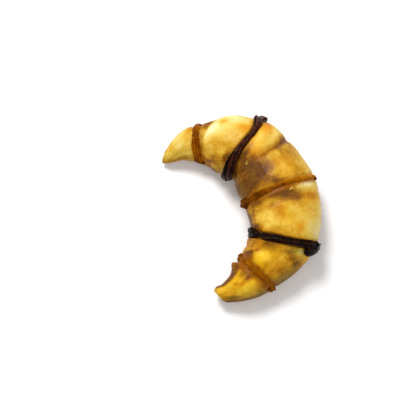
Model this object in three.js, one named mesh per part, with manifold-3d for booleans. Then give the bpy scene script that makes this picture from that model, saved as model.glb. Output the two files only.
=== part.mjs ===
// A crescent roll: a plump belly that bends through a little over half a circle and narrows to two horns,
// lying flat. Three thin amber strips and two thick dark strips are wound round it, each sunk in a groove of
// its own. The upper horn ends in a fine tip and the lower one in a blunt, ragged end. Millimetres, +Z up.
// The origin is on the table, under the middle of the roll's box.
import * as THREE from "three";
import { mergeVertices } from "three/addons/utils/BufferGeometryUtils.js";
import Module from "manifold-3d";

const wasm = await Module();
wasm.setup();

// Driving dimensions of the roll. A place along it is an angle of its bend, in degrees from the upper tip.
const BEND_RADIUS = 49.5;
const BEND_ANGLE = 207; // where its two tapers would meet
const LOWER_END = 203.4; // where the blunt lower horn stops
const UPPER_TIP_BEARING = 124.6; // in degrees from +X, seen from the bend's middle
const BELLY_WIDTH = 46.5;
const TAPER = 0.62; // the power of the sine that narrows the belly to the horns
const BELLY_PLUMPNESS = 0.77; // a section's height over its width
const HORN_PLUMPNESS = 0.95;
const SINK = 2.2; // how far the belly's round section is flattened on the table
const FLOOR_SOFTNESS = 1.0; // half the height over which the side turns into the flat base
const TIP_RAISE = { upper: 2.6, lower: 1.8, reach: 26 }; // how far the horns' ends lift off the table
const TIP_ROUNDING = { upper: 3, lower: 4.5 }; // degrees of bend over which an end closes
const LOWER_END_SLANT = -3.8; // the lower end is cut slantwise: its outer side stops this much sooner
const LOWER_END_BLUNTNESS = 1.6; // degrees by which it is cut off before its rounding would close

// Narrower places along the bend, as a share of the belly's width. Below zero they are wider ones.
const NECKS = [
  { at: 34, spread: 10, share: 0.085 },
  { at: 14, spread: 12, share: 0.08 },
  { at: 112, spread: 12, share: -0.02 },
  { at: 168, spread: 9, share: 0.03 },
  { at: 207, spread: 6, share: -0.14 },
];

// Where the middle line leaves the circle, in millimetres away from the bend's middle.
const DRIFTS = [
  { at: 0, spread: 16, shift: -3.7 },
  { at: 36, spread: 14, shift: -1.6 },
  { at: 71, spread: 6, shift: 1.2 },
  { at: 92, spread: 9, shift: -1.3 },
  { at: 141, spread: 13, shift: 1.6 },
  { at: 167, spread: 9, shift: -1.0 },
  { at: 206, spread: 13, shift: 0.3 },
];

// Soft creases where one rolled layer ends on the next. Each is a valley over the top, by its place and the
// section angle of its middle, and lean and bow are how far it runs along the roll on the way round.
const CREASES = [
  { at: 42, lean: 3, bow: -4, depth: 1.4, spread: 2.0, angle: 95, around: 85 },
  { at: 78, lean: 5, bow: 0, depth: 1.5, spread: 2.4, angle: 60, around: 80 },
  { at: 117, lean: -1, bow: 0, depth: 1.1, spread: 2.2, angle: 70, around: 60 },
  { at: 153, lean: 1, bow: 0, depth: 1.1, spread: 2.4, angle: 35, around: 35 },
];

// Swellings and dents of the skin: how high in millimetres, and how far along and around they reach.
const SWELLINGS = [
  { at: 48, angle: 95, height: 1.3, along: 8, around: 48 },
  { at: 52, angle: 14, height: 0.4, along: 6, around: 30 },
  { at: 49, angle: 176, height: 0.8, along: 6, around: 40 },
  { at: 70, angle: 190, height: -1.0, along: 4, around: 35 },
  { at: 71, angle: 60, height: 0.9, along: 5, around: 40 },
  { at: 88, angle: 120, height: -0.9, along: 8, around: 35 },
  { at: 92, angle: 55, height: 0.8, along: 7, around: 35 },
  { at: 127, angle: 85, height: -0.7, along: 5, around: 22 },
  { at: 131, angle: 125, height: 1.1, along: 8, around: 35 },
  { at: 128, angle: 30, height: 0.8, along: 7, around: 25 },
  { at: 158, angle: 185, height: -1.2, along: 7, around: 38 },
  { at: 163, angle: 110, height: 1.5, along: 5, around: 32 },
  { at: 165, angle: 55, height: 0.9, along: 6, around: 30 },
  { at: 191, angle: 178, height: -1.1, along: 6, around: 42 },
  { at: 180, angle: 174, height: 3.3, along: 2.6, around: 30 },
  { at: 199, angle: 160, height: -1.3, along: 4, around: 38 },
  { at: 186, angle: 70, height: 0.9, along: 7, around: 40 },
  { at: 182, angle: 2, height: -0.8, along: 14, around: 34 },
];

// Driving dimensions of the strips.
const GAP = 0.3; // between a strip and the groove that holds it
const GROOVE_SIDE_CLEARANCE = 0.5;
const GROOVE_WALL = 1.1; // how wide the groove's sloping side is
const LIFT_OFF_TABLE = 0.3; // the strips stay this far above the table
const SHOULDER_HEIGHT = 0.6; // where a strip's section is widest, as a share of its thickness
const RIDGE_PLACE = 0.55; // where its ridges run, as a share of its half width
const MIDDLE_HEIGHT = { dark: 0.84, amber: 1.06 }; // a valley between two ridges, or a low crown
const TAIL_FLATNESS = 0.7; // a loose end's thickness over its width
const TAIL_TAPER = 0.7; // how much of a loose end's section is gone at its tip
const TAIL_SLANT = 4; // degrees of section angle by which its outline turns for each millimetre across

// How finely the surfaces are divided.
const SECTION_SIDES = 44;
const ROW_STEP = 3.6; // degrees of bend
const END_STEPS = [0.03, 0.12, 0.3, 0.6]; // shares of the rounding at which a closing end has its rows
const TAIL_STEPS = 8;
const TAIL_SIDES = 8;

// The strips, from the upper horn to the lower one. In millimetres, skew and bow are how far a loop leans
// along the roll at its outer side and on its top, sway how far it swings one way and back over the top, and
// depth its groove's there. Lumps are the thicker and wider places along a loop. A tail is an end of the
// strip that leaves the loop. It runs from one section angle to another, and from start to reach along the
// roll.
const TIES = [
  {
    name: "amber_strip_upper", dark: false, at: 31.1, skew: 0.2, bow: -2.3, sway: 0,
    halfWidth: 2.5, thickness: 1.3, depth: 1.1,
    lumps: [
      { angle: 6, spread: 12, height: 0.8, widen: 0 },
      { angle: 174, spread: 9, height: 0.8, widen: 0 },
    ],
  },
  {
    name: "dark_strip_upper", dark: true, at: 63.4, skew: -1.1, bow: 2.0, sway: 2.4,
    halfWidth: 1.6, thickness: 3.0, depth: 1.4,
    lumps: [
      { angle: 20, spread: 28, height: 1.1, widen: 1.0 },
      { angle: 146, spread: 30, height: 1.2, widen: 1.6 },
    ],
    tails: [
      { from: -26, to: 16, start: 0, reach: 4.4, width: 2.1 },
      { from: 204, to: 166, start: 0, reach: -3.8, width: 1.6 },
    ],
  },
  {
    name: "amber_strip_middle", dark: false, at: 107.5, skew: -1.5, bow: 1.4, sway: 0,
    halfWidth: 1.6, thickness: 1.3, depth: 0.9,
    lumps: [
      { angle: 4, spread: 14, height: 0.6, widen: 0 },
      { angle: 172, spread: 16, height: 2.0, widen: 0.5 },
    ],
  },
  {
    name: "dark_strip_lower", dark: true, at: 142.2, skew: -1.6, bow: 5.3, sway: 0,
    halfWidth: 1.9, thickness: 3.1, depth: 1.2,
    lumps: [
      { angle: 22, spread: 46, height: 1.5, widen: 1.2 },
      { angle: 162, spread: 20, height: 0.6, widen: 0.4 },
    ],
    tails: [
      { from: -16, to: 44, start: 0.8, reach: 5.0, width: 2.2 },
      { from: 196, to: 158, start: 0, reach: -2.6, width: 1.7 },
    ],
  },
  {
    name: "amber_strip_lower", dark: false, at: 172.9, skew: -1.2, bow: 1.8, sway: 0,
    halfWidth: 1.7, thickness: 1.4, depth: 1.1,
    lumps: [
      { angle: 4, spread: 12, height: 2.0, widen: 0.3 },
      { angle: 170, spread: 12, height: 0.7, widen: 0.3 },
    ],
  },
];

const MM_PER_DEGREE = (BEND_RADIUS * Math.PI) / 180;
const KEPT_NEAR = 4.5; // degrees from a strip within which the rows keep their distance in millimetres
const KEPT_FAR = 16; // and where they are back to plain degrees of the bend

const radians = THREE.MathUtils.degToRad;
const smooth = (low, high, x) => THREE.MathUtils.smoothstep(x, low, high);
const hill = (x, spread) => Math.exp(-((x / spread) ** 2));
const turnBetween = (angle, other) => ((angle - other + 540) % 360) - 180; // from -180 to 180 degrees
const sum = (list, value) => list.reduce((total, item) => total + value(item), 0);

// The section's width at a place along the bend, as a share of the belly's.
function girth(along) {
  const share = THREE.MathUtils.clamp(along / BEND_ANGLE, 0.002, 0.998);
  const narrowing = sum(NECKS, (neck) => neck.share * hill(along - neck.at, neck.spread));
  return Math.sin(Math.PI * share) ** TAPER - narrowing;
}

// How much of its full section a horn still has, this near to its end.
function endRounding(row, along) {
  const toUpper = THREE.MathUtils.clamp(along / TIP_ROUNDING.upper, 0, 1);
  const toLower = Math.min(1, (LOWER_END + LOWER_END_BLUNTNESS - row) / TIP_ROUNDING.lower);
  return Math.sqrt(1 - (1 - toUpper) ** 2) * Math.sqrt(1 - (1 - toLower) ** 2);
}

// A strip's value, such as its lean, carried over smoothly from one strip to the next along the roll.
function betweenTies(row, key) {
  const upperEnd = { at: -1, skew: 0, bow: 0, sway: 0 };
  const lowerEnd = { at: LOWER_END + 1, skew: LOWER_END_SLANT, bow: 0, sway: 0 };
  const posts = [upperEnd, ...TIES, lowerEnd];
  const next = posts.findIndex((post) => post.at > row);
  const [a, b] = [posts[next - 1], posts[next]];
  return a[key] + (b[key] - a[key]) * smooth(a.at, b.at, row);
}

// The folds and swellings of the skin, in millimetres outwards.
function relief(row, angle) {
  const [across, up] = [Math.cos(radians(angle)), Math.sin(radians(angle))];
  const folds = sum(CREASES, (crease) => {
    const away = row - crease.at - crease.lean * across - crease.bow * up;
    return crease.depth * hill(away, crease.spread) * hill(turnBetween(angle, crease.angle), crease.around);
  });
  const lumps = sum(SWELLINGS, (lump) => {
    return lump.height * hill(row - lump.at, lump.along) * hill(turnBetween(angle, lump.angle), lump.around);
  });
  return lumps - folds;
}

// The grooves' depth. On the underside a groove takes in the whole strip, so the roll lies on its belly.
function grooveDepth(row, angle) {
  const under = smooth(0.1, 0.8, -Math.sin(radians(angle)));
  return sum(TIES, (tie) => {
    const away = Math.abs(row - tie.at) * MM_PER_DEGREE;
    const floorEdge = tie.halfWidth + GROOVE_SIDE_CLEARANCE;
    const full = tie.depth + (tie.thickness + GAP + LIFT_OFF_TABLE - tie.depth) * under;
    return full * (1 - smooth(floorEdge, floorEdge + GROOVE_WALL, away));
  });
}

// Zero below the table, the height itself well above it, and a soft bend between.
function onTable(height) {
  if (height > FLOOR_SOFTNESS) return height;
  if (height < -FLOOR_SOFTNESS) return 0;
  return (height + FLOOR_SOFTNESS) ** 2 / (4 * FLOOR_SOFTNESS);
}

// Where a row's point lies along the bend: rows lean with the strips, and keep their width at a strip.
function placeAlong(row, turn) {
  const stretch = 1 + (girth(row) * BELLY_WIDTH * Math.cos(turn)) / 2 / BEND_RADIUS;
  const up = Math.max(0, Math.sin(turn));
  const lean = betweenTies(row, "skew") * Math.cos(turn) + betweenTies(row, "bow") * up
    + betweenTies(row, "sway") * 2 * up ** 2 * Math.cos(turn);
  const kept = sum(TIES, (tie) => {
    const away = row - tie.at;
    return away * (1 - smooth(KEPT_NEAR, KEPT_FAR, Math.abs(away)));
  });
  const moved = row + lean / (MM_PER_DEGREE * stretch) + kept * (1 / stretch - 1);
  return Math.max(0, moved);
}

// A point of the skin, or rise millimetres above it. Angle 0 is the crescent's outer side and 90 its top.
function skin(row, angle, rise = 0) {
  const turn = radians(angle);
  const along = placeAlong(row, turn);
  const share = girth(along);
  const halfWidth = (share * BELLY_WIDTH) / 2;
  const halfHeight = halfWidth * THREE.MathUtils.lerp(HORN_PLUMPNESS, BELLY_PLUMPNESS, share);
  const round = endRounding(row, along);
  const normal = new THREE.Vector2(Math.cos(turn) * halfHeight, Math.sin(turn) * halfWidth).normalize();
  const bump = relief(row, angle) * round;
  const raise = TIP_RAISE.upper * hill(along, TIP_RAISE.reach)
    + TIP_RAISE.lower * hill(along - BEND_ANGLE, TIP_RAISE.reach);
  const centreHeight = halfHeight + raise - SINK * smooth(0.3, 0.7, share);
  const offset = rise - grooveDepth(row, angle) * round;
  const surface = onTable(centreHeight + halfHeight * round * Math.sin(turn) + bump * normal.y);
  const drift = sum(DRIFTS, (place) => place.shift * hill(along - place.at, place.spread));
  const across = halfWidth * round * Math.cos(turn) + (bump + offset) * normal.x;
  const radius = BEND_RADIUS + drift + across;
  const bearing = radians(UPPER_TIP_BEARING - along);
  return new THREE.Vector3(
    radius * Math.cos(bearing), radius * Math.sin(bearing), surface + offset * normal.y,
  );
}

// Six times the volume inside a closed surface, below zero if its faces point inwards.
function signedVolume(points, faces) {
  let total = 0;
  for (let i = 0; i < faces.length; i += 3) {
    const [a, b, c] = [points[faces[i]], points[faces[i + 1]], points[faces[i + 2]]];
    total += a.dot(b.clone().cross(c));
  }
  return total;
}

// A closed surface over rings of points, each joined to the next. It wraps round to the first ring, or else
// fans close its two ends.
function gridGeometry(rings, wrap) {
  const sides = rings[0].length;
  const points = rings.flat();
  const faces = [];
  const spans = wrap ? rings.length : rings.length - 1;
  for (let i = 0; i < spans; i++) {
    const next = (i + 1) % rings.length;
    for (let j = 0; j < sides; j++) {
      const beside = (j + 1) % sides;
      const [a, b] = [i * sides + j, next * sides + j];
      const [c, d] = [next * sides + beside, i * sides + beside];
      faces.push(a, b, c, a, c, d);
    }
  }
  if (!wrap) {
    const lastStart = (rings.length - 1) * sides;
    for (const [ring, start] of [[rings[0], 0], [rings.at(-1), lastStart]]) {
      const middle = ring.reduce((total, point) => total.add(point), new THREE.Vector3());
      const hub = points.push(middle.divideScalar(sides)) - 1;
      for (let j = 0; j < sides; j++) {
        const [here, beside] = [start + j, start + ((j + 1) % sides)];
        faces.push(...(start ? [hub, beside, here] : [hub, here, beside]));
      }
    }
  }
  if (signedVolume(points, faces) < 0) faces.reverse();
  const geometry = new THREE.BufferGeometry().setFromPoints(points);
  geometry.setIndex(faces);
  return geometry;
}

// Rows along the roll: rows on each groove's edges, an even spread between them, and finer ones at the ends.
function bodyRows() {
  const edges = TIES.flatMap((tie) => {
    const floorEdge = tie.halfWidth + GROOVE_SIDE_CLEARANCE;
    const half = [tie.halfWidth / 2, floorEdge, floorEdge + GROOVE_WALL];
    const offsets = [...half.map((away) => -away).reverse(), ...half];
    return offsets.map((away) => tie.at + away / MM_PER_DEGREE);
  });
  const marks = [TIP_ROUNDING.upper, ...edges, LOWER_END - TIP_ROUNDING.lower];
  const between = marks.slice(1).flatMap((mark, i) => {
    const steps = Math.max(1, Math.round((mark - marks[i]) / ROW_STEP));
    return Array.from({ length: steps - 1 }, (_, k) => marks[i] + ((mark - marks[i]) * (k + 1)) / steps);
  });
  const ends = END_STEPS.flatMap((share) => {
    return [share * TIP_ROUNDING.upper, LOWER_END - share * TIP_ROUNDING.lower];
  });
  return [...marks, ...between, ...ends].sort((a, b) => a - b);
}

function bodyGeometry() {
  const angles = Array.from({ length: SECTION_SIDES }, (_, j) => (360 * j) / SECTION_SIDES);
  return gridGeometry(bodyRows().map((row) => angles.map((angle) => skin(row, angle))), false);
}

// A strip's loop. Its section is flat underneath. A thick one has two ridges on top, a thin one a low crown.
function loopGeometry(tie) {
  const middleHeight = tie.dark ? MIDDLE_HEIGHT.dark : MIDDLE_HEIGHT.amber;
  const rings = [];
  for (let j = 0; j < SECTION_SIDES; j++) {
    const angle = (360 * j) / SECTION_SIDES;
    const above = smooth(-0.15, 0.35, Math.sin(radians(angle)));
    const lumped = (key) => {
      return sum(tie.lumps, (lump) => lump[key] * hill(turnBetween(angle, lump.angle), lump.spread));
    };
    const thick = tie.thickness + lumped("height");
    const wide = tie.halfWidth + lumped("widen") * above;
    const section = [
      [tie.halfWidth, 0],
      [0, 0],
      [-tie.halfWidth, 0],
      [-wide, SHOULDER_HEIGHT * thick],
      [-RIDGE_PLACE * wide, thick],
      [0, middleHeight * thick],
      [RIDGE_PLACE * wide, thick],
      [wide, SHOULDER_HEIGHT * thick],
    ];
    rings.push(section.map(([away, rise]) => skin(tie.at + away / MM_PER_DEGREE, angle, rise + GAP)));
  }
  return gridGeometry(rings, true);
}

// A strip's loose end: a short bar that leaves the loop and lies on the skin.
function tailGeometry(tie, tail) {
  const slant = Math.sign((tail.to - tail.from) * (tail.reach - tail.start)) * TAIL_SLANT;
  const rings = [];
  for (let i = 0; i <= TAIL_STEPS; i++) {
    const share = i / TAIL_STEPS;
    const angle = THREE.MathUtils.lerp(tail.from, tail.to, share);
    const along = THREE.MathUtils.lerp(tail.start, tail.reach, share);
    const halfWidth = tail.width * Math.sqrt(1 - TAIL_TAPER * share ** 4);
    const ring = [];
    for (let k = 0; k < TAIL_SIDES; k++) {
      const turn = (2 * Math.PI * k) / TAIL_SIDES;
      const away = halfWidth * Math.sin(turn);
      const row = tie.at + (along + away) / MM_PER_DEGREE;
      const clear = grooveDepth(row, angle) + 2 * GAP;
      const height = TAIL_FLATNESS * halfWidth * (1 + Math.cos(turn));
      ring.push(skin(row, angle - slant * away, clear + height));
    }
    rings.push(ring);
  }
  return gridGeometry(rings, false);
}

function toSolid(geometry) {
  const merged = mergeVertices(geometry, 1e-4);
  return new wasm.Manifold(new wasm.Mesh({
    numProp: 3,
    vertProperties: new Float32Array(merged.attributes.position.array),
    triVerts: new Uint32Array(merged.index.array),
  }));
}

function fromSolid(solid) {
  const mesh = solid.getMesh();
  const geometry = new THREE.BufferGeometry();
  geometry.setAttribute("position", new THREE.BufferAttribute(mesh.vertProperties, 3));
  geometry.setIndex(new THREE.BufferAttribute(mesh.triVerts, 1));
  return geometry;
}

function stripGeometry(tie) {
  const loop = loopGeometry(tie);
  if (!tie.tails) return loop;
  const tails = tie.tails.map((tail) => toSolid(tailGeometry(tie, tail)));
  return fromSolid(tails.reduce((solid, tail) => solid.add(tail), toSolid(loop)));
}

const crust = new THREE.MeshStandardMaterial({ color: 0xdda648, roughness: 0.38, metalness: 0 });
const amber = new THREE.MeshStandardMaterial({ color: 0x9a5a16, roughness: 0.35, metalness: 0 });
const dark = new THREE.MeshStandardMaterial({ color: 0x2a1714, roughness: 0.42, metalness: 0 });

const croissant = new THREE.Group();
function place(name, geometry, material) {
  geometry.computeVertexNormals();
  const mesh = new THREE.Mesh(geometry, material);
  mesh.name = name;
  croissant.add(mesh);
}

place("roll", bodyGeometry(), crust);
for (const tie of TIES) place(tie.name, stripGeometry(tie), (tie.dark ? dark : amber).clone());

// The middle of the whole roll's box stands over the origin, and its lowest point is on the table.
const box = new THREE.Box3().setFromObject(croissant);
const middle = box.getCenter(new THREE.Vector3());
for (const mesh of croissant.children) mesh.position.set(-middle.x, -middle.y, -box.min.z);

export default croissant;
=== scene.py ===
# %% [markdown]
# # A bent croissant, wound with amber and dark strips
# The real thing is a crescent roll, about 12 cm long. Its skin is smooth, swollen and waxy, cream and gold
# on top and brown in its folds; here that brown is painted browning together with painted shade. Three thin
# amber strips and two thick dark ones are wound round it.
# The scene starts from the imported model, which fixes every size. What is made here takes the place of its
# plain solids, in the same spot, and brings the folds, pores, strands, crumbs and colours.

# %% The frame and its boxes
import math

import bpy
import numpy as np
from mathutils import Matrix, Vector


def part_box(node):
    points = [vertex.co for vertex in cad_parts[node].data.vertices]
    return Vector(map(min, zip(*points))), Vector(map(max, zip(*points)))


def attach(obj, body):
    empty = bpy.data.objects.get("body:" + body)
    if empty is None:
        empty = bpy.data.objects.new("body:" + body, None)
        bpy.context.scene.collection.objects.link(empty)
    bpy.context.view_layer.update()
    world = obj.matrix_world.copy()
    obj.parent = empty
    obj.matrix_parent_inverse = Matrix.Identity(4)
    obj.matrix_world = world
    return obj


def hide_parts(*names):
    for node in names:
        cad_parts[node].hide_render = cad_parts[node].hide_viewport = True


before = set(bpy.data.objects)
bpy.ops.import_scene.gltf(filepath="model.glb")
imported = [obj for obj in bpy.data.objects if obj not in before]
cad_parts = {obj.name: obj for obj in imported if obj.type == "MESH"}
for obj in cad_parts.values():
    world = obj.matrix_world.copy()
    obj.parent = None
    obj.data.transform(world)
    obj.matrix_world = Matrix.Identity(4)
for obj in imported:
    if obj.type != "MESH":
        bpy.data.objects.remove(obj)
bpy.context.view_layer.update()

MM = 0.001  # the sizes below are in millimetres, and Blender's unit is the metre
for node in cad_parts:
    print(node, [[round(value / MM, 1) for value in corner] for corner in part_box(node)])

# %% [markdown]
# ## A short way to write node trees
# Shapes and finishes are both made with nodes. Dozens of Math nodes are hard to read one by one, so a small
# class stands for a wire of the tree, and adding or multiplying two wires makes the Math node. Any other node
# comes from one method, which takes its type, its settings and what goes into its sockets.

# %% Wires and trees
class Wire:
    """A value that runs along a wire. Arithmetic on it adds the Math nodes that work it out."""

    def __init__(self, tree, node, socket):
        self.tree, self.node, self.socket = tree, node, socket

    def out(self, name):
        return Wire(self.tree, self.node, find_socket(self.node.outputs, name))

    def maths(self, operation, *others):
        return self.tree.maths(operation, self, *others)

    def __add__(self, other):
        return self.maths("ADD", other)

    def __sub__(self, other):
        return self.maths("SUBTRACT", other)

    def __rsub__(self, other):
        return self.tree.maths("SUBTRACT", other, self)

    def __mul__(self, other):
        return self.maths("MULTIPLY", other)

    def __truediv__(self, other):
        return self.maths("DIVIDE", other)

    def __rtruediv__(self, other):
        return self.tree.maths("DIVIDE", other, self)

    def __pow__(self, other):
        return self.maths("POWER", other)

    def __neg__(self):
        return self.maths("MULTIPLY", -1.0)

    def __abs__(self):
        return self.maths("ABSOLUTE")

    __radd__ = __add__
    __rmul__ = __mul__


def find_socket(sockets, key):
    """A socket by its number, its identifier or its name."""
    if isinstance(key, int):
        return sockets[key]
    for socket in sockets:
        if socket.identifier == key:
            return socket
    return next(socket for socket in sockets if socket.name == key and socket.enabled)


class Tree:
    """A node tree, and the one method that adds nodes to it."""

    def __init__(self, tree):
        self.tree = tree
        self.count = 0

    def add(self, kind, settings=None, sockets=None, out=0):
        node = self.tree.nodes.new(kind)
        node.location = (220 * (self.count // 12), -170 * (self.count % 12))
        self.count += 1
        for name, value in (settings or {}).items():
            if name == "stops":
                set_stops(node.color_ramp, value)
            else:
                setattr(node, name, value)
        for key, value in (sockets or {}).items():
            socket = find_socket(node.inputs, key)
            if isinstance(value, Wire):
                self.tree.links.new(value.socket, socket)
            else:
                socket.default_value = value
        return Wire(self, node, find_socket(node.outputs, out)) if len(node.outputs) else None

    def maths(self, operation, *values):
        return self.add("ShaderNodeMath", {"operation": operation}, dict(enumerate(values)))

    def smooth(self, low, high, value):
        """Zero below low, one above high, and a soft step between them."""
        sockets = {"Value": value, "From Min": low, "From Max": high}
        return self.add("ShaderNodeMapRange", {"interpolation_type": "SMOOTHSTEP"}, sockets)

    def clamp(self, value, low=0.0, high=1.0):
        return self.add("ShaderNodeClamp", {}, {"Value": value, "Min": low, "Max": high})

    def noise(self, vector, scale, detail=2.0, roughness=0.5, out=0):
        """A noise around zero, from about -1 to 1."""
        sockets = {"Vector": vector, "Scale": scale, "Detail": detail, "Roughness": roughness}
        return (self.add("ShaderNodeTexNoise", {}, sockets, out) - 0.5) * 2.6

    def vector(self, x, y, z):
        return self.add("ShaderNodeCombineXYZ", {}, {"X": x, "Y": y, "Z": z})

    def vector_maths(self, operation, *values, out=0):
        return self.add("ShaderNodeVectorMath", {"operation": operation}, dict(enumerate(values)), out)


def set_stops(ramp, stops):
    """A colour ramp's stops, as (place, sRGB colour) from left to right."""
    while len(ramp.elements) > 1:
        ramp.elements.remove(ramp.elements[-1])
    for number, (place, colour) in enumerate(stops):
        stop = ramp.elements[0] if number == 0 else ramp.elements.new(place)
        stop.position = place
        stop.color = paint(*colour)


def paint(red, green, blue):
    """A colour as a paint shop numbers it, 0 to 255, as the linear colour that nodes take."""
    def linear(value):
        value /= 255
        return value / 12.92 if value < 0.04045 else ((value + 0.055) / 1.055) ** 2.4
    return (linear(red), linear(green), linear(blue), 1.0)


def hill(value, spread):
    """A soft bump around zero: one in the middle, and gone at about twice the spread."""
    return value.tree.maths("POWER", math.exp(-1 / spread ** 2), value * value)


def hill_of(value, spread):
    """A hill whose spread is a wire."""
    away = value / spread
    return (-(away * away)).maths("EXPONENT")


def directions(angle):
    """How far a section angle points across and up, as shares of one."""
    turn = angle * (math.pi / 180)
    return turn.maths("COSINE"), turn.maths("SINE")


def turn_between(angle, other):
    """The turn from one section angle to another, from -180 to 180 degrees."""
    return (angle - other).maths("WRAP", 180.0, -180.0)


def new_group(name, inputs, outputs):
    """A Geometry Nodes group with named inputs, as (name, kind, default), and outputs."""
    group = bpy.data.node_groups.new(name, "GeometryNodeTree")
    for socket_name, kind, default in inputs:
        socket = group.interface.new_socket(socket_name, in_out="INPUT", socket_type="NodeSocket" + kind)
        if default is not None:
            socket.default_value = default
    for socket_name, kind in outputs:
        group.interface.new_socket(socket_name, in_out="OUTPUT", socket_type="NodeSocket" + kind)
    tree = Tree(group)
    tree.start = tree.add("NodeGroupInput")
    return tree


def spot_group():
    """A soft spot on the roll, added to a total: the group that swellings and patches of colour repeat."""
    names = ["Total", "Row", "Angle", "Place", "Middle", "Along", "Around", "Amount"]
    tree = new_group("soft spot", [(name, "Float", 1.0) for name in names], [("Total", "Float")])
    total, row, angle, place, middle, along, around, amount = (tree.start.out(name) for name in names)
    a = (row - place) / along
    b = turn_between(angle, middle) / around
    tree.add("NodeGroupOutput", {}, {"Total": total + (-(a * a) - b * b).maths("EXPONENT") * amount})
    return tree.tree


SOFT_SPOT = spot_group()


def with_spots(tree, total, row, angle, spots):
    """Adds spots to a total, each given as its place, middle angle, reach along and around, and amount."""
    for place, middle, along, around, amount in spots:
        total = tree.add("GeometryNodeGroup", {"node_tree": SOFT_SPOT}, {
            "Total": total, "Row": row, "Angle": angle, "Place": place, "Middle": middle,
            "Along": along, "Around": around, "Amount": amount})
    return total


print("node helpers ready")

# %% [markdown]
# ## The shape rule of the roll
# A baker rolls a triangle of dough from its wide end, so the roll is fattest in its middle and thin at its
# horns, and then bends it. That is a rule: a place along the bend gives the section's width, and an angle
# round the section gives the point. It could be sculpted by hand, but a rule keeps the skin and the strips
# that are wound on it in step. The solids of the model were made with nearly the same rule: a few of its
# numbers are set nearer to the photo here, such as the slant of the lower end.

# %% Sizes of the roll
BEND_RADIUS = 49.5
BEND_ANGLE = 207.0  # a place along the roll is an angle of its bend, in degrees from the upper tip
LOWER_END = 203.4  # where the blunt lower horn stops
BEND_MIDDLE = (-23.405, -5.387)
UPPER_TIP_BEARING = 124.6
BELLY_WIDTH = 46.5
TAPER = 0.62
BELLY_PLUMPNESS, HORN_PLUMPNESS = 0.77, 0.95  # a section's height over its width
SINK, FLOOR_SOFTNESS = 2.2, 1.0
TIP_RAISE_UPPER, TIP_RAISE_LOWER, TIP_RAISE_REACH = 2.6, 1.8, 26.0
TIP_ROUNDING_UPPER, TIP_ROUNDING_LOWER = 3.0, 4.5
LOWER_END_LEAN = {"skew": -1.7, "bow": 2.2, "sway": 0.0}  # how the blunt cut of that end stands
LOWER_END_BLUNTNESS = 1.6
MM_PER_DEGREE = BEND_RADIUS * math.pi / 180

# Narrower places, as (place, spread, share), and shifts of the middle line, as (place, spread, shift).
NECKS = [(34, 10, 0.085), (14, 12, 0.08), (112, 12, -0.02), (168, 9, 0.03), (207, 6, -0.14)]
DRIFTS = [
    (0, 16, -3.7), (36, 14, -1.6), (71, 6, 1.2), (92, 9, -1.3), (141, 13, 1.6), (167, 9, -1.0),
    (206, 13, 0.3),
]
# Creases where one rolled layer ends on the next: place, lean, bow, depth, spread, angle, reach around.
CREASES = [
    (42, 3, -6.5, 1.4, 2.0, 90, 85), (78, 5, 0, 1.5, 2.4, 60, 80), (117, -1, 0, 1.1, 2.2, 70, 60),
    (153, 1, 0, 1.1, 2.4, 35, 35),
]
# Swellings and dents: place, angle, reach along, reach around, height.
SWELLINGS = [
    (48, 95, 8, 48, 1.3), (52, 14, 6, 30, 0.4), (49, 176, 6, 40, 0.8), (70, 190, 4, 35, -1.0),
    (71, 60, 5, 40, 0.9), (88, 120, 8, 35, -0.9), (92, 55, 7, 35, 0.8), (127, 85, 5, 22, -0.7),
    (131, 125, 8, 35, 1.1), (128, 30, 7, 25, 0.8), (158, 185, 7, 38, -1.2), (163, 110, 5, 32, 1.5),
    (165, 55, 6, 30, 0.9), (191, 178, 6, 42, -1.1), (179.4, 172, 2.6, 28, 2.4), (199, 160, 4, 38, -1.3),
    (182.2, 172, 2.8, 26, 1.7), (186, 70, 7, 40, 0.9), (182, 2, 14, 34, -0.8),
]
print("the roll runs through", round(BEND_ANGLE * MM_PER_DEGREE), "mm of bend")

# %% [markdown]
# ## Where the strips lie
# Each strip is wound once round the roll and has pulled a shallow groove into the soft dough. It leans a
# little along the roll, and the rows of the skin lean with it. Skew is how far it leans on the outer side,
# bow on the top, and sway is a swing one way and back. Slide moves a strip and its groove without the rows.
# Lumps are three thicker or thinner places. Tails are loose ends, and nubs are drips beside a strip.
#
# The rest is how worn a strip is, and how light and shade are painted on it. Spread is its width over its
# groove's, and fray is how ragged its edges are. Melt is how far its colour has washed out, lit half how much
# its outer half is painted lighter and its inner half darker, a painted light and shade, and stain how it has
# run into the skin.

# %% Sizes of the strips
GAP = 0.3
# How far beside a strip its groove's wall begins, and how wide the wall is: dark strips, then amber ones.
GROOVE_WALLS = {True: (0.15, 0.8), False: (-0.3, 2.4)}
KEPT_NEAR, KEPT_FAR = 4.5, 16.0  # rows keep their width this near to a strip, and no longer this far off
LIFT_OFF_TABLE = 0.3
USUAL = {"sway": 0, "slide": (0.0, 0.0), "tails": [], "nubs": [], "spread": 1.0, "melt": 0.0, "fray": 1.0,
         "pale": 0.0}
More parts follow.
